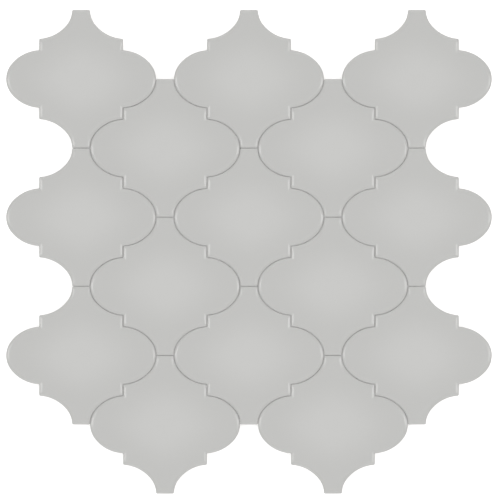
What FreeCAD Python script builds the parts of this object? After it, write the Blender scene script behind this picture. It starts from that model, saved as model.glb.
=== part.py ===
import FreeCAD, Part

import math
import os

# A sheet of fifteen glazed arabesque tiles, held edge to edge by a glass-fibre net glued to their backs.
# It lies face up on a level floor. X runs from lobe to lobe, Y from neck to neck, and Z up.
# The origin is on the floor under the middle of the sheet. Every size is in millimetres.

# How the tiles are set out. Every second column sits half a tile lower, so that lobes nest in necks.
column_count = 5
tiles_per_column = 3
column_pitch = 43.0
row_pitch = 70.8
joint_width = 0.4  # the tiles lie almost edge to edge

# The outline of one tile, a lantern shape with a lobe on each side and a neck at each end.
neck_width = 8.8
step_length = 5.9  # the upright stretch between a lobe and the hollow beside the neck
lobe_tip_turn = 39.0  # degrees from the middle line up to where a lobe's tip arc meets its shoulder arc
shoulder_lean = 2.5  # degrees that a shoulder still falls at the step, where it meets it almost squarely

# The section of one tile.
tile_thickness = 6.0
key_depth = 0.5  # the grooves pressed in the back, which give the adhesive a hold
key_width = 6.0
key_pitch = 12.0
key_border = 3.5  # plain back left between a groove and the tile's edge

# The net. Its yarns lie in two layers, one across the sheet and one along it.
yarn_width = 0.9
yarn_thickness = 0.25
yarn_pitch = 5.0
net_border = 3.0  # how far inside the outer edges of the tiles the net is trimmed

half_row = row_pitch / 2
half_joint = joint_width / 2
back_height = 2 * yarn_thickness

origin = FreeCAD.Vector(0, 0, 0)
along_x = FreeCAD.Vector(1, 0, 0)
along_y = FreeCAD.Vector(0, 1, 0)


def arc(centre, radius, start, end):
    """A circular edge about centre, from one angle to another, in radians."""
    angles = (start, (start + end) / 2, end)
    points = [centre + FreeCAD.Vector(math.cos(a), math.sin(a), 0) * radius for a in angles]
    return Part.Arc(*points).toShape()


def lobe_arcs():
    """The centres and radii of a lobe's tip arc and shoulder arc, measured to the middle of the joint.

    The two arcs are tangent. They run from the lobe's tip, on the tile's middle line, to the foot of the
    upright step, and the two radii are what makes them end there after the turns given above.
    """
    reach = column_pitch - neck_width / 2 - half_joint
    across = reach - column_pitch / 2
    rise = (half_row - step_length) / 2
    join = math.radians(lobe_tip_turn)
    foot = math.radians(90 - shoulder_lean)
    tip_across = 1 - math.cos(join)
    tip_rise = math.sin(join)
    shoulder_across = math.cos(join) - math.cos(foot)
    shoulder_rise = math.sin(foot) - math.sin(join)
    scale = tip_rise * shoulder_across - tip_across * shoulder_rise
    tip_radius = (rise * shoulder_across - across * shoulder_rise) / scale
    shoulder_radius = (across * tip_rise - rise * tip_across) / scale
    towards_join = FreeCAD.Vector(math.cos(join), math.sin(join), 0)
    tip_centre = FreeCAD.Vector(reach - tip_radius, 0, 0)
    shoulder_centre = tip_centre + towards_join * (tip_radius - shoulder_radius)
    return tip_centre, tip_radius, shoulder_centre, shoulder_radius


def quarter_outline(inset):
    """The edges of the tile's upper right quarter, from lobe tip to neck, inset from the middle of the joint.

    The boundary that two tiles share is the same turned half round about the middle of the step, so the
    hollow beside the neck is the lobe's own two arcs turned half round, and the joint stays equally wide.
    """
    tip_centre, tip_radius, shoulder_centre, shoulder_radius = lobe_arcs()
    corner = FreeCAD.Vector(column_pitch, half_row, 0)
    hollow_tip_centre = corner - tip_centre
    hollow_shoulder_centre = corner - shoulder_centre
    step_x = column_pitch / 2 - inset
    join = math.radians(lobe_tip_turn)
    lobe_end = math.acos((step_x - shoulder_centre.x) / (shoulder_radius - inset))
    hollow_start = -math.acos((step_x - hollow_shoulder_centre.x) / (shoulder_radius + inset))
    neck_end = math.asin(inset / (tip_radius + inset)) - math.pi
    tip = arc(tip_centre, tip_radius - inset, 0, join)
    shoulder = arc(shoulder_centre, shoulder_radius - inset, join, lobe_end)
    hollow = arc(hollow_shoulder_centre, shoulder_radius + inset, hollow_start, join - math.pi)
    neck = arc(hollow_tip_centre, tip_radius + inset, join - math.pi, neck_end)
    step = Part.makeLine(shoulder.Vertexes[1].Point, hollow.Vertexes[0].Point)
    neck_edge = Part.makeLine(neck.Vertexes[1].Point, FreeCAD.Vector(0, half_row - inset, 0))
    return [tip, shoulder, step, hollow, neck, neck_edge]


def tile_face(inset):
    """The whole outline of a tile centred on the origin, as a flat face."""
    right_top = quarter_outline(inset)
    top = right_top + [edge.mirror(origin, along_x) for edge in right_top]
    edges = top + [edge.mirror(origin, along_y) for edge in top]
    return Part.Face(Part.Wire(Part.__sortEdges__(edges)))


def chords(face, start, end):
    """The stretches of the line from start to end that lie inside a flat face, as pairs of points."""
    line = Part.makeLine(start, end)
    return [(edge.Vertexes[0].Point, edge.Vertexes[-1].Point) for edge in line.common(face).Edges]


def key_grooves():
    """The grooves in the back of a tile, side by side, each as long as the outline leaves room for."""
    room = tile_face(half_joint + key_border)
    reach = along_y * row_pitch
    count = int(column_pitch / key_pitch)
    grooves = []
    for number in range(-count, count + 1):
        middle = number * key_pitch
        sides = [along_x * (middle - key_width / 2), along_x * (middle + key_width / 2)]
        ends = [abs(end.y) for side in sides for start, end in chords(room, side - reach, side + reach)]
        if len(ends) == len(sides) and min(ends) > key_width:
            corner = sides[0] - along_y * min(ends)
            grooves.append(Part.makeBox(key_width, 2 * min(ends), key_depth, corner))
    return grooves


def make_tile():
    """One fired tile, centred on the origin with its back at Z = 0."""
    blank = tile_face(half_joint).extrude(FreeCAD.Vector(0, 0, tile_thickness))
    return blank.removeSplitter().cut(key_grooves())


def tile_places():
    """Each tile's column, row and centre, from the upper left of the sheet."""
    for column in range(column_count):
        x = (column - (column_count - 1) / 2) * column_pitch
        stagger = row_pitch / 4 if column % 2 == 0 else -row_pitch / 4
        for row in range(tiles_per_column):
            y = ((tiles_per_column - 1) / 2 - row) * row_pitch + stagger
            yield column + 1, row + 1, FreeCAD.Vector(x, y, 0)


def net_outline():
    """The shape that the net is trimmed to: the rim of the whole sheet, drawn in by the net's border."""
    cells = [tile_face(0).translated(centre) for column, row, centre in tile_places()]
    sheet = cells[0].multiFuse(cells[1:]).removeSplitter()
    rim = Part.Face(sheet.Faces[0].OuterWire)
    return rim.makeOffset2D(-(half_joint + net_border))


def make_yarns(outline, along, across, level):
    """One layer of the net: straight yarns along one axis, a pitch apart across the other, from level upwards."""
    box = outline.BoundBox
    reach = max(box.XLength, box.YLength)
    count = int(reach / 2 / yarn_pitch)
    yarns = []
    for number in range(-count, count + 1):
        middle = across * (number * yarn_pitch)
        for start, end in chords(outline, middle - along * reach, middle + along * reach):
            length = (end - start).Length
            if length > 2 * yarn_pitch:
                size = along * length + across * yarn_width
                low = FreeCAD.Vector(min(start.x, end.x), min(start.y, end.y), level)
                corner = low - across * (yarn_width / 2)
                yarns.append(Part.makeBox(size.x, size.y, yarn_thickness, corner))
    return Part.makeCompound(yarns)


def main():
    os.makedirs("parts", exist_ok=True)
    outline = net_outline()
    make_yarns(outline, along_x, along_y, 0).exportStep("parts/net_yarns_across.step")
    make_yarns(outline, along_y, along_x, yarn_thickness).exportStep("parts/net_yarns_along.step")
    tile = make_tile()
    for column, row, centre in tile_places():
        place = centre + FreeCAD.Vector(0, 0, back_height)
        tile.translated(place).exportStep(f"parts/tile_column{column}_row{row}.step")


main()
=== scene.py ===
"""A net-backed sheet of glazed arabesque tiles, finished and lit on a plain pale floor."""

import math

import bmesh
import bpy
import numpy as np
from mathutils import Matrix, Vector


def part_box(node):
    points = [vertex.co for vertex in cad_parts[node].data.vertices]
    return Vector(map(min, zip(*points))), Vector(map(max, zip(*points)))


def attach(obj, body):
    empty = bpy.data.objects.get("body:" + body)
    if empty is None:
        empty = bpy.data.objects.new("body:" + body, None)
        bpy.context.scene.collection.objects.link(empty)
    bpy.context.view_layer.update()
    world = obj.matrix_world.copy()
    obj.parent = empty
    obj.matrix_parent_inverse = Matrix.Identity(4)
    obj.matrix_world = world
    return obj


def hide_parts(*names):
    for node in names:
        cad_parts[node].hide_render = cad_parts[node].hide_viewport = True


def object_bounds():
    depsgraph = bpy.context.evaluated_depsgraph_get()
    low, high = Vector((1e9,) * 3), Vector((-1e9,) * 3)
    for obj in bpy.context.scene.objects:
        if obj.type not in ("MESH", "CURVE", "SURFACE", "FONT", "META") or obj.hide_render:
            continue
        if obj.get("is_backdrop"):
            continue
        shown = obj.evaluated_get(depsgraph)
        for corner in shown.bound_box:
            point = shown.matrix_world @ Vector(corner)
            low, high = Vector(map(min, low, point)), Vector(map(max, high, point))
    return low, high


bl_info = {
    "name": "Arabesque Tile Sheet",
    "version": (1, 0, 0),
    "blender": (4, 5, 0),
    "location": "3D View > Sidebar > Tile Sheet",
    "description": "Makes a net-backed sheet of glazed lantern-shaped tiles and the studio that shows it",
    "category": "Add Mesh",
}

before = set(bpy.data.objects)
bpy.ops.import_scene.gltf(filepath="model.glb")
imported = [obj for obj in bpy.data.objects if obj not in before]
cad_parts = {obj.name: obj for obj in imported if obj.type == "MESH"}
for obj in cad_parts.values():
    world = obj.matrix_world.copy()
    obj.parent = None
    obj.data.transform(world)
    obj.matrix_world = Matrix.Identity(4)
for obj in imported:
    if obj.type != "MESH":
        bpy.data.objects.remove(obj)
cad_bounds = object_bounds()

TILE_NODES = sorted(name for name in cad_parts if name.startswith("tile_"))
ACROSS_NODE = "net_yarns_across"
ALONG_NODE = "net_yarns_along"
X_AXIS = 0
Y_AXIS = 1

# Seeds of the random draws
GLAZE_LINE_SEED = 7
TILE_SEED = 11
STRAND_SEED = 1000

# How finely the surfaces are divided
FACE_STEPS = 8
ROLL_RINGS = 10
FLAT_YARN_SIDES = 8
STRAND_SIDES = 5

# How many waves make the line where the glaze ends
GLAZE_LINE_WAVES = 24

# Points nearer to each other than this are one, in metres
WELD_DISTANCE = 1e-6
# Faces that meet at a larger angle than this make a sharp edge
CREASE_ANGLE = math.radians(50)
# How thick a yarn's cut end is, as a share of the yarn
YARN_END_GIRTH = 0.55
# The least and the most that a tile lies low, as shares of the lippage
FALL_SHARES = (0.1, 0.5)
# Where a face's lighter heart, painted light for the light on its crown, starts and stops fading, as shares
# of its reach
HEART_FADE = (0.2, 1.15)

# Each softbox's place, its width and length in metres, and its brightness as a share of the lamps' setting
SOFTBOXES = {
    "left_softbox": ((-0.90, 0.0, 1.27), (0.36, 1.1), 1.0),
    "right_softbox": ((0.90, 0.0, 1.27), (0.36, 1.1), 1.0),
    "top_softbox": ((0.0, 1.4, 1.1), (1.6, 0.8), 0.30),
    "bottom_softbox": ((0.0, -1.4, 1.1), (1.6, 0.8), 0.30),
}


def node_centre(name):
    """The middle of a node's box."""
    low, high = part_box(name)
    return (low + high) / 2


tile_low, tile_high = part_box("tile_column1_row1")
tile_size = tile_high - tile_low
net_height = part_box(ALONG_NODE)[1].z
column_pitch = node_centre("tile_column2_row1").x - node_centre("tile_column1_row1").x
row_pitch = node_centre("tile_column1_row1").y - node_centre("tile_column1_row2").y
joint_width = row_pitch - tile_size.y
neck_width = 2 * (column_pitch - joint_width) - tile_size.x


def length(name, description, default):
    """A size in metres that a user may change."""
    return bpy.props.FloatProperty(
        name=name, description=description, default=default, unit="LENGTH", precision=5
    )


def colour(name, description, default):
    """A colour that a user may change."""
    return bpy.props.FloatVectorProperty(
        name=name, description=description, default=default, size=3, min=0, max=1, subtype="COLOR"
    )


class TileShape(bpy.types.PropertyGroup):
    """One tile's outline, edge and back."""

    step_length: length("Step", "The upright stretch between a lobe and the hollow beside the neck", 0.0059)
    tip_turn: bpy.props.FloatProperty(
        name="Tip turn",
        description="How far a lobe's tip arc turns",
        default=math.radians(39),
        subtype="ANGLE",
    )
    shoulder_lean: bpy.props.FloatProperty(
        name="Shoulder lean",
        description="How far a shoulder still falls where it meets the step",
        default=math.radians(2.5),
        subtype="ANGLE",
    )
    softness: length("Corner softness", "How far the outline's corners are rubbed round", 0.00042)
    spacing: length("Spacing", "The distance between points along the outline", 0.00045)
    roll_width: length("Roll width", "How far in from the edge the glaze starts to turn down", 0.0018)
    roll_drop: length("Roll drop", "How far the face falls over its rolled edge", 0.0010)
    crown: length("Crown", "How much higher the middle of the face is than its rim", 0.00012)
    heart_reach_x: length("Heart, across", "How far the lighter heart of the face reaches sideways", 0.0287)
    heart_reach_y: length("Heart, along", "How far it reaches towards the necks", 0.0215)
    heart_power: bpy.props.FloatProperty(
        name="Heart squareness", description="1 makes the heart a lozenge, 2 an ellipse", default=1.6, min=1
    )
    bulge: length("Bulge", "How far the glazed wall stands out past the tile's nominal outline", 0.00017)
    glaze_thickness: length("Glaze", "The thickness of the glaze on the side walls", 0.00014)
    glaze_foot: length("Glaze foot", "The height above the back where the glaze ends", 0.0019)
    glaze_waver: length("Glaze waver", "How much that height wanders along the wall", 0.0005)
    back_chamfer: length("Back edge", "The broken edge round the back", 0.0004)
    groove_depth: length("Groove depth", "The depth of the keying grooves in the back", 0.0005)
    groove_width: length("Groove width", "The width of a keying groove", 0.006)
    groove_pitch: length("Groove pitch", "From one keying groove to the next", 0.012)
    groove_border: length("Groove border", "Plain back left between a groove and the edge", 0.0035)
    lippage: length("Lippage", "How much lower the lowest tile's face may be than the highest", 0.00012)


class NetShape(bpy.types.PropertyGroup):
    """The yarns of the net."""

    weft_width: length("Weft width", "The width of a flat yarn that runs across the sheet", 0.0009)
    weft_height: length("Weft height", "Its thickness", 0.0002)
    strand_width: length("Strand width", "The width of one of the two strands of a lengthwise yarn", 0.0005)
    strand_height: length("Strand height", "Its thickness", 0.00016)
    strand_swing: length("Strand swing", "How far the two strands swing apart between crossings", 0.0003)
    wander: length("Wander", "How far a yarn strays from a straight line", 0.00015)
    wander_length: length("Wander length", "The distance over which it strays and comes back", 0.045)
    weft_spacing: length("Weft spacing", "The distance between sections of a flat yarn", 0.00125)
    strand_spacing: length("Strand spacing", "The distance between sections of a strand", 0.001)


class SheetFinish(bpy.types.PropertyGroup):
    """The colours of the sheet."""

    # The heart colour is painted light: the glaze is painted lighter at each tile's middle, standing in for
    # the light on its crowned face
    glaze_rim: colour("Glaze at the rim", "The glaze towards the edge of a tile", (0.525, 0.524, 0.512))
    glaze_lit_heart: colour("Glaze at the heart", "The glaze in the middle of a tile", (0.571, 0.570, 0.558))
    glaze_deep: colour("Glaze where it pools", "The glaze at its thickest", (0.480, 0.480, 0.462))
    fired_body: colour("Fired body", "The unglazed clay", (0.780, 0.755, 0.700))
    body_fleck: colour("Body fleck", "The darker grains in the clay", (0.600, 0.560, 0.490))
    yarn: colour("Yarn", "The coated glass fibre", (0.900, 0.900, 0.880))
    yarn_shade: colour("Yarn in its folds", "The fibre seen between the strands", (0.720, 0.720, 0.680))


class StudioLook(bpy.types.PropertyGroup):
    """The floor, the lamps and the camera."""

    floor_colour: colour("Floor", "The floor", (0.90, 0.90, 0.90))
    floor_reach: length("Floor reach", "From the middle of the floor to its sides", 6.0)
    floor_glow: bpy.props.FloatProperty(
        name="Floor glow",
        description="White that the camera sees on top of the lit floor",
        default=0.42,
        min=0,
        max=1,
    )
    world_strength: bpy.props.FloatProperty(
        name="Surroundings", description="Light from all round", default=0.676, min=0
    )
    lamp_radiance: bpy.props.FloatProperty(
        name="Lamps", description="How bright the lamps' faces are", default=3.0, min=0
    )
    camera_distance: length("Camera distance", "From the camera to the faces of the tiles", 3.0)
    view_width: length("View width", "The width that the picture shows at the faces of the tiles", 0.25496)
    view_up: length("View up", "How far above the sheet's middle the camera is", 0.00066)


# Numbers to surfaces


def lobe_arcs(shape):
    """The centre and radius of a lobe's tip arc, then of its shoulder arc.

    Tip arc and shoulder arc are tangent. Their radii solve two equations: the two arcs' runs across add up
    to the way from the step to the lobe's tip, and their rises add up to the height of the step's foot.
    """
    reach = column_pitch - (neck_width + joint_width) / 2
    across = reach - column_pitch / 2
    rise = (row_pitch / 2 - shape.step_length) / 2
    join = shape.tip_turn
    foot = math.pi / 2 - shape.shoulder_lean
    runs = [
        [1 - math.cos(join), math.cos(join) - math.cos(foot)],
        [math.sin(join), math.sin(foot) - math.sin(join)],
    ]
    tip_radius, shoulder_radius = np.linalg.solve(runs, [across, rise])
    tip = np.array([reach - tip_radius, 0.0])
    shoulder = tip + (tip_radius - shoulder_radius) * np.array([math.cos(join), math.sin(join)])
    return tip, tip_radius, shoulder, shoulder_radius


def along_arc(centre, radius, start, end, count):
    """Points centre + radius (cos a, sin a). The angle a goes evenly from start and stops short of end."""
    angle = np.linspace(start, end, count, endpoint=False)
    return centre + radius * np.column_stack([np.cos(angle), np.sin(angle)])


def along_line(start, end, count):
    """Points start + share (end - start). The share goes evenly from 0 and stops short of 1."""
    share = np.linspace(0, 1, count, endpoint=False)[:, None]
    return start + share * (np.asarray(end) - start)


def quarter_outline(shape, inset):
    """The outline from the right lobe's tip to the middle of the upper neck, inset from the joint's middle.

    The stretches are the lobe's tip and shoulder arcs, the upright step, the shoulder and tip arcs of the
    hollow beside the neck, and half the neck. The hollow's arcs are the lobe's own, turned half round about
    the step's middle, so their radii grow with the inset where the lobe's shrink. Each stretch has as many
    points at every inset, so outlines at several insets make a surface.
    """
    tip, tip_radius, shoulder, shoulder_radius = lobe_arcs(shape)
    corner = np.array([column_pitch, row_pitch / 2])
    hollow_tip = corner - tip
    hollow_shoulder = corner - shoulder
    join = shape.tip_turn
    step_x = column_pitch / 2 - inset
    neck_y = row_pitch / 2 - inset
    lobe_end = math.acos((step_x - shoulder[0]) / (shoulder_radius - inset))
    hollow_start = -math.acos((step_x - hollow_shoulder[0]) / (shoulder_radius + inset))
    neck_end = math.asin(inset / (tip_radius + inset)) - math.pi
    step_foot = shoulder + (shoulder_radius - inset) * np.array([math.cos(lobe_end), math.sin(lobe_end)])
    step_head = hollow_shoulder + (shoulder_radius + inset) * np.array(
        [math.cos(hollow_start), math.sin(hollow_start)]
    )
    neck_corner = hollow_tip + (tip_radius + inset) * np.array([math.cos(neck_end), math.sin(neck_end)])
    tip_count = round(tip_radius * join / shape.spacing)
    shoulder_count = round(shoulder_radius * (math.pi / 2 - join) / shape.spacing)
    step_count = round(shape.step_length / shape.spacing)
    neck_count = round(neck_width / 2 / shape.spacing)
    return np.concatenate(
        [
            along_arc(tip, tip_radius - inset, 0, join, tip_count),
            along_arc(shoulder, shoulder_radius - inset, join, lobe_end, shoulder_count),
            along_line(step_foot, step_head, step_count),
            along_arc(hollow_shoulder, shoulder_radius + inset, hollow_start, join - math.pi, shoulder_count),
            along_arc(hollow_tip, tip_radius + inset, join - math.pi, neck_end, tip_count),
            along_line(neck_corner, (0, neck_y), neck_count),
            [(0, neck_y)],
        ]
    )


def whole_outline(shape, inset):
    """The closed outline, anticlockwise from the right lobe's tip, with its corners rubbed round.

    The quarter is mirrored into a half, and the half turned half round. Rubbing is a Gaussian blur of the
    points along the outline, done on their Fourier series as complex numbers x + iy.
    """
    quarter = quarter_outline(shape, inset)
    half = np.concatenate([quarter, quarter[-2::-1] * (-1, 1)])
    loop = np.concatenate([half[:-1], -half[:-1]])
    waves = np.fft.fft(loop[:, 0] + 1j * loop[:, 1])
    frequency = np.fft.fftfreq(len(waves), shape.spacing)
    softened = np.fft.ifft(waves * np.exp(-2 * (math.pi * shape.softness * frequency) ** 2))
    return np.column_stack([softened.real, softened.imag])


def wavering(count, seed, waves):
    """A closed random line of count values, scaled so that the largest is 1 or -1.

    It is a sum of cosines that go round 1, 2, 3 and more times. Each starts at a random angle, and its size
    is a random number over the square root of how often it goes round.
    """
    random = np.random.default_rng(seed)
    turn = np.linspace(0, 2 * math.pi, count, endpoint=False)
    number = np.arange(1, waves + 1)
    phase = random.uniform(0, 2 * math.pi, waves)
    size = random.uniform(0.3, 1.0, waves) / np.sqrt(number)
    line = (size[:, None] * np.cos(number[:, None] * turn + phase[:, None])).sum(axis=0)
    return line / np.abs(line).max()


def tile_rings(shape):
    """The tile's skin as rings from the middle of its face out, over the edge and in under the back.

    Inside the rolled edge a ring is the outline shrunk towards the middle by a share s, at a height that
    falls with s squared. The roll is a quarter of an ellipse. The wall drops to where the glaze ends, steps
    in to the bare body, and ends at the back's broken edge. Each ring of x, y, z comes with a value that is
    1 on the glaze and 0 on bare clay.
    """
    half_joint = joint_width / 2
    wall_inset = half_joint - shape.bulge
    face_line = whole_outline(shape, half_joint + shape.roll_width)
    count = len(face_line)
    rim_height = tile_size.z - shape.crown
    rings, glazed = [], []

    def add(line, height, glaze):
        rings.append(np.column_stack([line, np.broadcast_to(height, count)]))
        glazed.append(np.full(count, glaze))

    for share in np.linspace(0, 1, FACE_STEPS + 1)[1:-1]:
        add(face_line * share, tile_size.z - shape.crown * share**2, 1)
    for turn in np.linspace(0, math.pi / 2, ROLL_RINGS):
        inset = wall_inset + (shape.roll_width + shape.bulge) * (1 - math.sin(turn))
        add(whole_outline(shape, inset), rim_height - shape.roll_drop * (1 - math.cos(turn)), 1)
    glaze_end = shape.glaze_foot + shape.glaze_waver * wavering(count, GLAZE_LINE_SEED, GLAZE_LINE_WAVES)
    wall = whole_outline(shape, wall_inset)
    body_wall = whole_outline(shape, wall_inset + shape.glaze_thickness)
    drip = (wall + body_wall) / 2
    add(wall, glaze_end + shape.glaze_thickness, 1)
    add(drip, glaze_end, 1)
    add(body_wall, glaze_end, 0)
    add(body_wall, shape.back_chamfer, 0)
    back_line = whole_outline(shape, wall_inset + shape.glaze_thickness + shape.back_chamfer)
    add(back_line, 0, 0)
    return np.array(rings), np.array(glazed)


def heart_distance(shape, points):
    """How far points lie from a tile's middle, counted in reaches of its painted lighter heart.

    It is the p-th root of |x / reach across| to the power p plus |y / reach along| to the power p, which is
    1 on a soft lozenge.
    """
    x, y = np.abs(np.asarray(points)[:, :2]).T
    power = shape.heart_power
    return ((x / shape.heart_reach_x) ** power + (y / shape.heart_reach_y) ** power) ** (1 / power)


def ring_faces(ring_count, point_count, first=0, poles=None):
    """Quads between neighbouring closed rings, and a fan from each pole's vertex to its end ring."""
    ring = np.arange(ring_count - 1)[:, None] * point_count
    here = np.arange(point_count)
    after = np.roll(here, -1)
    quads = np.stack(
        [ring + here, ring + point_count + here, ring + point_count + after, ring + after], axis=-1
    ).reshape(-1, 4)
    faces = (quads + first).tolist()
    if poles is not None:
        last = first + (ring_count - 1) * point_count
        faces += np.column_stack([np.full(point_count, poles[0]), first + here, first + after]).tolist()
        faces += np.column_stack([np.full(point_count, poles[1]), last + after, last + here]).tolist()
    return faces


def new_mesh(name, points, faces, values=None):
    """A mesh from its points and faces, with each of values as an attribute of its points."""
    mesh = bpy.data.meshes.new(name)
    mesh.from_pydata(np.asarray(points).tolist(), [], faces)
    for key, value in (values or {}).items():
        value = np.asarray(value, dtype=np.float32)
        kind = "FLOAT" if value.ndim == 1 else "FLOAT_VECTOR"
        field = "value" if value.ndim == 1 else "vector"
        mesh.attributes.new(key, kind, "POINT").data.foreach_set(field, value.ravel())
    mesh.validate()
    mesh.update()
    return mesh


def mesh_points(mesh):
    """A mesh's points, one row of x, y, z each."""
    flat = np.zeros(len(mesh.vertices) * 3, np.float32)
    mesh.vertices.foreach_get("co", flat)
    return flat.reshape(-1, 3).astype(float)


def new_object(name, mesh, material=None):
    """An object at the origin, with its place in its mesh."""
    thing = bpy.data.objects.new(name, mesh)
    bpy.context.scene.collection.objects.link(thing)
    if material is not None:
        mesh.materials.append(material)
    return thing


# Node materials


class Value:
    """A number that a material works out at each point, with Python's arithmetic as Math nodes."""

    def __init__(self, finish, socket):
        self.finish = finish
        self.socket = socket

    def maths(self, operation, *values):
        """The result of a Math node."""
        node = self.finish.node("ShaderNodeMath", {"operation": operation}, dict(enumerate(values)))
        return Value(self.finish, node.outputs[0])

    def __add__(self, other):
        return self.maths("ADD", self, other)

    def __radd__(self, other):
        return self.maths("ADD", other, self)

    def __sub__(self, other):
        return self.maths("SUBTRACT", self, other)

    def __rsub__(self, other):
        return self.maths("SUBTRACT", other, self)

    def __mul__(self, other):
        return self.maths("MULTIPLY", self, other)

    def __rmul__(self, other):
        return self.maths("MULTIPLY", other, self)

    def rising(self, low, high):
        """0 below low, 1 above high, and a smooth rise between them."""
        sockets = {"Value": self, "From Min": low, "From Max": high}
        node = self.finish.node("ShaderNodeMapRange", {"interpolation_type": "SMOOTHSTEP"}, sockets)
        return Value(self.finish, node.outputs["Result"])


class Finish:
    """A node material around one Principled shader."""

    def __init__(self, name):
        self.material = bpy.data.materials.new(name)
        self.material.use_nodes = True
        self.tree = self.material.node_tree
        self.tree.nodes.clear()
        self.output = self.node("ShaderNodeOutputMaterial")

    def node(self, kind, settings=None, sockets=None):
        """A node of any kind: its settings are set first, then the values or links of its sockets."""
        node = self.tree.nodes.new(kind)
        for key, value in (settings or {}).items():
            setattr(node, key, value)
        for key, value in (sockets or {}).items():
            if isinstance(key, int):
                socket = node.inputs[key]
            else:
                socket = next(s for s in node.inputs if s.name == key and s.enabled)
            value = getattr(value, "socket", value)
            if isinstance(value, bpy.types.NodeSocket):
                self.tree.links.new(value, socket)
            elif socket.type == "RGBA" and len(value) == 3:
                socket.default_value = (*value, 1)
            else:
                socket.default_value = value
        return node

    def attribute(self, name):
        """One of the mesh's own values."""
        return Value(self, self.node("ShaderNodeAttribute", {"attribute_name": name}).outputs["Fac"])

    def place(self):
        """The point's place in the sheet's own frame."""
        return self.node("ShaderNodeTexCoord").outputs["Object"]

    def noise(self, place, size, detail=2.0, roughness=0.5, stretch=(1, 1, 1)):
        """Soft random patches of about a given size in metres, from 0 to 1."""
        scale = [factor / size for factor in stretch]
        scaled = self.node("ShaderNodeMapping", {"vector_type": "POINT"}, {"Vector": place, "Scale": scale})
        sockets = {"Vector": scaled.outputs["Vector"], "Scale": 1.0, "Detail": detail, "Roughness": roughness}
        return Value(self, self.node("ShaderNodeTexNoise", None, sockets).outputs["Fac"])

    def mix(self, start, end, share):
        """The colour start where share is 0, and end where it is 1."""
        node = self.node("ShaderNodeMix", {"data_type": "RGBA"}, {"Factor": share, "A": start, "B": end})
        return next(s for s in node.outputs if s.enabled and s.type == "RGBA")

    def relief(self, height):
        """The normal of a surface with a height in metres."""
        sockets = {"Strength": 1.0, "Distance": 1.0, "Height": height}
        return self.node("ShaderNodeBump", None, sockets).outputs["Normal"]

    def shade(self, **sockets):
        """Finishes the material with a Principled shader. Underscores in the names stand for spaces."""
        named = {key.replace("_", " "): value for key, value in sockets.items()}
        shader = self.node("ShaderNodeBsdfPrincipled", None, named)
        self.tree.links.new(shader.outputs["BSDF"], self.output.inputs["Surface"])
        return self.material


def glazed_clay(look):
    """Glossy grey glaze over a pale, bare, grainy fired body, with painted light: the glaze is painted a
    little lighter at each tile's heart, standing in for the light on its crowned face.

    The glaze has wide soft clouds in its tone, slow swells and a fine peel in its surface. The clay has grain
    and darker flecks. Sizes and heights are in metres.
    """
    finish = Finish("grey_glaze_on_fired_clay")
    place = finish.place()
    # Painted light: a share that is 1 at each tile's heart and fades towards its rim
    lit_heart = 1 - finish.attribute("lit_heart").rising(*HEART_FADE)
    glazed = finish.attribute("glazed")
    tone = finish.attribute("tone")
    cloud = finish.noise(place, 0.030, detail=1)
    swell = finish.noise(place, 0.014, detail=1)
    peel = finish.noise(place, 0.0016, detail=1)
    grain = finish.noise(place, 0.0007, detail=4, roughness=0.7)
    fleck = finish.noise(place, 0.0011, detail=2).rising(0.62, 0.72)
    # Painted highlight: the glaze is mixed lighter towards the heart, standing in for the light on the
    # crowned face
    glaze = finish.mix(look.glaze_rim, look.glaze_lit_heart, lit_heart)
    glaze = finish.mix(glaze, look.glaze_deep, 0.03 + 0.05 * cloud + 0.02 * tone)
    clay = finish.mix(look.fired_body, look.body_fleck, 0.35 * fleck + 0.2 * grain)
    glossy = 0.09 + 0.05 * swell
    height = glazed * (swell * 30e-6 + peel * 1.5e-6) + (1 - glazed) * (grain * 60e-6)
    return finish.shade(
        Base_Color=finish.mix(clay, glaze, glazed),
        Roughness=glazed * glossy + (1 - glazed) * (0.72 + 0.2 * grain),
        Normal=finish.relief(height),
        IOR=1.52,
    )


def coated_fibre(look):
    """Resin-coated glass yarn, with fine streaks along the fibres."""
    finish = Finish("coated_glass_yarn")
    fibre = finish.node("ShaderNodeAttribute", {"attribute_name": "fibre"}).outputs["Vector"]
    streak = finish.noise(fibre, 0.35, detail=2, stretch=(1, 1, 60))
    patch = finish.noise(finish.place(), 0.02, detail=2)
    return finish.shade(
        Base_Color=finish.mix(look.yarn, look.yarn_shade, 0.55 * streak.rising(0.45, 0.75) + 0.15 * patch),
        Roughness=0.38 + 0.25 * patch,
        Normal=finish.relief(streak * 30e-6),
    )


def studio_floor(studio):
    """A white matt floor. The camera, reflections and glass also see a glow in it, which lights nothing."""
    finish = Finish("studio_floor")
    ray = finish.node("ShaderNodeLightPath").outputs
    seen = Value(finish, ray["Is Camera Ray"]) + Value(finish, ray["Is Glossy Ray"])
    seen = seen + Value(finish, ray["Is Transmission Ray"])
    seen = seen.maths("MINIMUM", seen, 1.0)
    matt = finish.node("ShaderNodeBsdfDiffuse", None, {"Color": studio.floor_colour})
    glow = finish.node("ShaderNodeEmission", None, {"Strength": seen * studio.floor_glow})
    both = finish.node("ShaderNodeAddShader", None, {0: matt.outputs[0], 1: glow.outputs[0]})
    finish.tree.links.new(both.outputs[0], finish.output.inputs["Surface"])
    return finish.material


# The pieces


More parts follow.
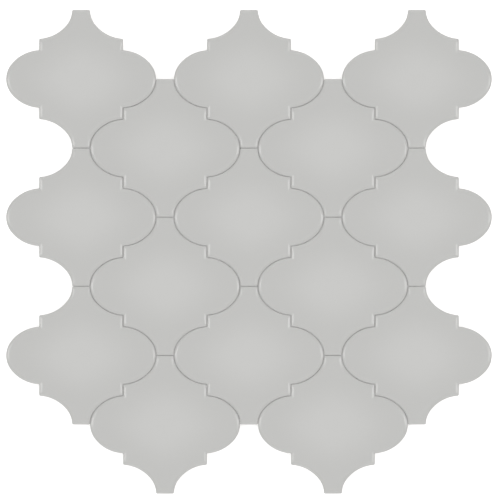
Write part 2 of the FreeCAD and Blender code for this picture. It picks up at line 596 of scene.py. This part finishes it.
class SHEET_OT_tiles(bpy.types.Operator):
    """Makes the glazed tiles, each in its own place on the net"""

    bl_idname = "mesh.arabesque_tiles"
    bl_label = "Glazed Tiles"

    def grooves(self, shape):
        """Boxes that cut the keying grooves, each as long as the outline leaves room for.

        The outline is inset by the border. A box ends at the lower of the two heights at which the outline
        crosses the box's long sides.
        """
        room = whole_outline(shape, joint_width / 2 + shape.groove_border)
        upper = room[: len(room) // 2 + 1]
        count = int(column_pitch / shape.groove_pitch)
        middles = np.arange(-count, count + 1)[:, None] * shape.groove_pitch
        sides = middles + np.array([-0.5, 0.5]) * shape.groove_width
        end = np.interp(sides, upper[::-1, 0], upper[::-1, 1], left=0, right=0).min(axis=1)
        kept = end > shape.groove_width
        left, right = sides[kept].T
        end = end[kept]
        x = np.stack([left, right, right, left] * 2, axis=1)
        y = np.stack([-end, -end, end, end] * 2, axis=1)
        z = np.repeat([-shape.groove_depth, shape.groove_depth], 4)
        points = np.stack(np.broadcast_arrays(x, y, z), axis=-1).reshape(-1, 3)
        box = np.array([(3, 2, 1, 0), (4, 5, 6, 7), (0, 1, 5, 4), (1, 2, 6, 5), (2, 3, 7, 6), (3, 0, 4, 7)])
        first = 8 * np.arange(len(end))[:, None, None]
        return new_object("grooves", new_mesh("grooves", points, (first + box).reshape(-1, 4).tolist()))

    def tile_pattern(self, shape):
        """One tile about the origin, back down. A Boolean modifier cuts its grooves, which are bare clay."""
        rings, glazed = tile_rings(shape)
        points = np.concatenate([rings.reshape(-1, 3), [(0, 0, tile_size.z), (0, 0, 0)]])
        faces = ring_faces(len(rings), len(rings[0]), poles=(len(points) - 2, len(points) - 1))
        # Each point's distance from the middle, from which the glaze paints its lighter heart as painted
        # light
        values = {"lit_heart": heart_distance(shape, points), "glazed": np.append(glazed.ravel(), (1, 0))}
        tile = new_object("tile_pattern", new_mesh("tile_pattern", points, faces, values))
        cutter = self.grooves(shape)
        cut = tile.modifiers.new("grooves", "BOOLEAN")
        cut.object = cutter
        cut.operation = "DIFFERENCE"
        cut.solver = "EXACT"
        depsgraph = bpy.context.evaluated_depsgraph_get()
        pattern = bpy.data.meshes.new_from_object(tile.evaluated_get(depsgraph))
        bpy.data.objects.remove(tile)
        bpy.data.objects.remove(cutter)
        self.merge_doubles(pattern)
        bare = mesh_points(pattern)[:, 2] <= shape.groove_depth
        glazed = np.zeros(len(bare), np.float32)
        pattern.attributes["glazed"].data.foreach_get("value", glazed)
        glazed[bare] = 0
        pattern.attributes["glazed"].data.foreach_set("value", glazed)
        return pattern

    def merge_doubles(self, mesh):
        """Joins the points that the cut leaves in one place, so that the skin has no gap and no sliver."""
        work = bmesh.new()
        work.from_mesh(mesh)
        bmesh.ops.remove_doubles(work, verts=work.verts, dist=WELD_DISTANCE)
        bmesh.ops.dissolve_degenerate(work, edges=work.edges, dist=WELD_DISTANCE)
        work.to_mesh(mesh)
        work.free()

    def execute(self, context):
        shape = context.scene.sheet_tile
        pattern = self.tile_pattern(shape)
        material = glazed_clay(context.scene.sheet_finish)
        random = np.random.default_rng(TILE_SEED)
        x, y, z = mesh_points(pattern).T
        upper = z / tile_size.z
        for node in TILE_NODES:
            centre = node_centre(node)
            # Each face leans a little and lies a little low, while its back stays flat on the net
            tilt = random.uniform(-1, 1, 2) * shape.lippage / tile_size.x
            fall = random.uniform(*FALL_SHARES) * shape.lippage
            lowered = fall + abs(tilt[0]) * tile_size.x / 2 + abs(tilt[1]) * tile_size.y / 2
            height = net_height + z + upper * (tilt[0] * x + tilt[1] * y - lowered / 2)
            moved = np.column_stack([centre.x + x, centre.y + y, height])
            mesh = pattern.copy()
            mesh.vertices.foreach_set("co", moved.astype(np.float32).ravel())
            tone = np.full(len(moved), random.uniform(-1, 1), np.float32)
            mesh.attributes.new("tone", "FLOAT", "POINT").data.foreach_set("value", tone)
            mesh.shade_smooth()
            mesh.set_sharp_from_angle(angle=CREASE_ANGLE)
            mesh.update()
            tile = new_object("glazed_" + node, mesh, material)
            tile.data.name = tile.name
            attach(tile, "root")
            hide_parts(node)
        bpy.data.meshes.remove(pattern)
        return {"FINISHED"}


def yarn_spans(node, axis):
    """The start, end and offset of each straight yarn of a net node, read from its mesh.

    The yarns run along the axis. Across it, every two values in order are the sides of one line of yarns,
    and along a side, every two values in order are the ends of one yarn.
    """
    points = mesh_points(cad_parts[node].data)
    edges = np.unique(np.round(points[:, [1 - axis, axis]], 5), axis=0)
    sides = np.unique(edges[:, 0])
    for low, high in zip(sides[::2], sides[1::2]):
        ends = edges[edges[:, 0] == low, 1]
        for start, end in zip(ends[::2], ends[1::2]):
            yield start, end, (low + high) / 2


def yarn_tube(along, offset, height, axis, half_width, half_height, side_count):
    """A closed tube round a line that runs nearly along an axis, with ellipses square to it as sections.

    The point at angle a of a section is the line's point, moved sideways by the half width times cos a and
    up by the half height times sin a. The rings at the two ends are smaller and closed by a point in their
    middle. Along x the angle goes the other way round, so that the faces point outwards there too.
    """
    turn = np.linspace(0, 2 * math.pi, side_count, endpoint=False)
    if axis == X_AXIS:
        turn = -turn
    girth = np.ones(len(along))
    girth[[0, -1]] = YARN_END_GIRTH
    side = offset[:, None] + girth[:, None] * half_width * np.cos(turn)
    up = height[:, None] + girth[:, None] * half_height * np.sin(turn)
    run = np.broadcast_to(along[:, None], side.shape)
    rings = np.stack([run, side, up] if axis == X_AXIS else [side, run, up], axis=-1)
    fibre = np.stack(np.broadcast_arrays(np.cos(turn), np.sin(turn), along[:, None]), axis=-1)
    ends = rings[[0, -1]].mean(axis=1)
    points = np.concatenate([rings.reshape(-1, 3), ends])
    fibre = np.concatenate([fibre.reshape(-1, 3), [(0, 0, along[0]), (0, 0, along[-1])]])
    return points, fibre, (len(along), side_count)


def join_tubes(name, tubes, material):
    """One object from many closed tubes."""
    points, fibres, faces = [], [], []
    first = 0
    for tube_points, fibre, (ring_count, side_count) in tubes:
        last = first + len(tube_points)
        points.append(tube_points)
        fibres.append(fibre)
        faces += ring_faces(ring_count, side_count, first, poles=(last - 2, last - 1))
        first = last
    mesh = new_mesh(name, np.concatenate(points), faces, {"fibre": np.concatenate(fibres)})
    mesh.shade_smooth()
    return new_object(name, mesh, material)


def stray(shape, along, seed):
    """How far a yarn strays sideways at each place along it.

    It is the wander times the sum of two sines with random starts: 0.7 times one that comes round once in
    the wander length, and 0.3 times one that is 2.7 times as quick.
    """
    phase = np.random.default_rng(seed).uniform(0, 2 * math.pi, 2)
    turn = 2 * math.pi * along / shape.wander_length
    return shape.wander * (0.7 * np.sin(turn + phase[0]) + 0.3 * np.sin(2.7 * turn + phase[1]))


class SHEET_OT_net(bpy.types.Operator):
    """Makes the net: flat yarns across the sheet, and pairs of twisted strands that lock them lengthways"""

    bl_idname = "mesh.arabesque_net"
    bl_label = "Glass-Fibre Net"

    def stand_for(self, piece, node):
        """Puts a piece of the net in a node's place."""
        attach(piece, "root")
        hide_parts(node)

    def flat_yarns(self, shape):
        """Flat tubes across the sheet, at half the net's height."""
        half_width = shape.weft_width / 2
        half_height = shape.weft_height / 2
        for number, (start, end, offset) in enumerate(yarn_spans(ACROSS_NODE, X_AXIS)):
            along = np.linspace(start, end, round((end - start) / shape.weft_spacing) + 1)
            side = offset + stray(shape, along, number)
            height = np.full(len(along), net_height / 2)
            yield yarn_tube(along, side, height, X_AXIS, half_width, half_height, FLAT_YARN_SIDES)

    def twisted_yarns(self, shape):
        """Pairs of strands, one over and one under each flat yarn, which swap places between the yarns.

        An angle grows by half a turn from one flat yarn to the next. One strand of a pair swings sideways
        with the angle's sine and up and down with its cosine, and the other does the opposite.
        """
        half_width = shape.strand_width / 2
        half_height = shape.strand_height / 2
        pitch = np.diff(np.unique([offset for start, end, offset in yarn_spans(ACROSS_NODE, X_AXIS)])).min()
        rise = (net_height - shape.strand_height) / 2
        for number, (start, end, offset) in enumerate(yarn_spans(ALONG_NODE, Y_AXIS)):
            along = np.linspace(start, end, round((end - start) / shape.strand_spacing) + 1)
            line = offset + stray(shape, along, STRAND_SEED + number)
            turn = math.pi * along / pitch
            for hand in (-1, 1):
                side = line + hand * shape.strand_swing * np.sin(turn)
                height = net_height / 2 + hand * rise * np.cos(turn)
                yield yarn_tube(along, side, height, Y_AXIS, half_width, half_height, STRAND_SIDES)

    def execute(self, context):
        shape = context.scene.sheet_net
        material = coated_fibre(context.scene.sheet_finish)
        self.stand_for(join_tubes("net_flat_yarns", self.flat_yarns(shape), material), ACROSS_NODE)
        self.stand_for(join_tubes("net_twisted_yarns", self.twisted_yarns(shape), material), ALONG_NODE)
        return {"FINISHED"}


class SHEET_OT_studio(bpy.types.Operator):
    """Makes the floor, the lamps and the camera that looks straight down"""

    bl_idname = "scene.arabesque_studio"
    bl_label = "Studio"

    def lamp(self, name, place, size, radiance):
        """A softbox that faces the sheet. Its power is its radiance times its area and pi."""
        data = bpy.data.lights.new(name, "AREA")
        data.shape = "RECTANGLE"
        data.size, data.size_y = size
        data.energy = radiance * size[0] * size[1] * math.pi
        lamp = bpy.data.objects.new(name, data)
        bpy.context.scene.collection.objects.link(lamp)
        lamp.location = place
        lamp.rotation_euler = lamp.location.to_track_quat("Z", "Y").to_euler()

    def camera(self, studio):
        """A camera that looks straight down, with a lens that makes the picture as wide as the view width."""
        data = bpy.data.cameras.new("camera")
        data.sensor_fit = "HORIZONTAL"
        data.lens = data.sensor_width * studio.camera_distance / studio.view_width
        data.clip_end = 100
        camera = bpy.data.objects.new("camera", data)
        bpy.context.scene.collection.objects.link(camera)
        middle = (cad_bounds[0] + cad_bounds[1]) / 2
        camera.location = (middle.x, middle.y + studio.view_up, cad_bounds[1].z + studio.camera_distance)
        bpy.context.scene.camera = camera

    def execute(self, context):
        studio = context.scene.sheet_studio
        reach = studio.floor_reach
        corners = [(-reach, -reach, 0), (reach, -reach, 0), (reach, reach, 0), (-reach, reach, 0)]
        floor = new_object("floor", new_mesh("floor", corners, [(0, 1, 2, 3)]), studio_floor(studio))
        floor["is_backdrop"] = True
        world = bpy.data.worlds.new("surroundings")
        world.use_nodes = True
        background = world.node_tree.nodes["Background"]
        background.inputs["Color"].default_value = (1, 1, 1, 1)
        background.inputs["Strength"].default_value = studio.world_strength
        context.scene.world = world
        for name, (place, size, share) in SOFTBOXES.items():
            self.lamp(name, place, size, studio.lamp_radiance * share)
        self.camera(studio)
        context.scene.view_settings.view_transform = "Standard"
        return {"FINISHED"}


class SHEET_PT_panel(bpy.types.Panel):
    """The sheet's pieces, one button each"""

    bl_idname = "SHEET_PT_panel"
    bl_label = "Tile Sheet"
    bl_space_type = "VIEW_3D"
    bl_region_type = "UI"
    bl_category = "Tile Sheet"

    def draw(self, context):
        for name in ("mesh.arabesque_tiles", "mesh.arabesque_net", "scene.arabesque_studio"):
            self.layout.operator(name)
        for key in GROUPS:
            group = getattr(context.scene, key)
            box = self.layout.box()
            for setting in group.__annotations__:
                box.prop(group, setting)


GROUPS = {
    "sheet_tile": TileShape,
    "sheet_net": NetShape,
    "sheet_finish": SheetFinish,
    "sheet_studio": StudioLook,
}
CLASSES = (*GROUPS.values(), SHEET_OT_tiles, SHEET_OT_net, SHEET_OT_studio, SHEET_PT_panel)


def register():
    """Adds the classes and the scene's settings."""
    for item in CLASSES:
        bpy.utils.register_class(item)
    for key, group in GROUPS.items():
        setattr(bpy.types.Scene, key, bpy.props.PointerProperty(type=group))


def unregister():
    """Takes the scene's settings and the classes away again."""
    for key in GROUPS:
        delattr(bpy.types.Scene, key)
    for item in reversed(CLASSES):
        bpy.utils.unregister_class(item)


def main():
    """Makes the pieces and the studio."""
    register()
    bpy.ops.mesh.arabesque_tiles()
    bpy.ops.mesh.arabesque_net()
    bpy.ops.scene.arabesque_studio()
    sizes = {"cad": cad_bounds, "visual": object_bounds()}
    {key: [list(corner) for corner in box] for key, box in sizes.items()}


if __name__ == "__main__":
    main()
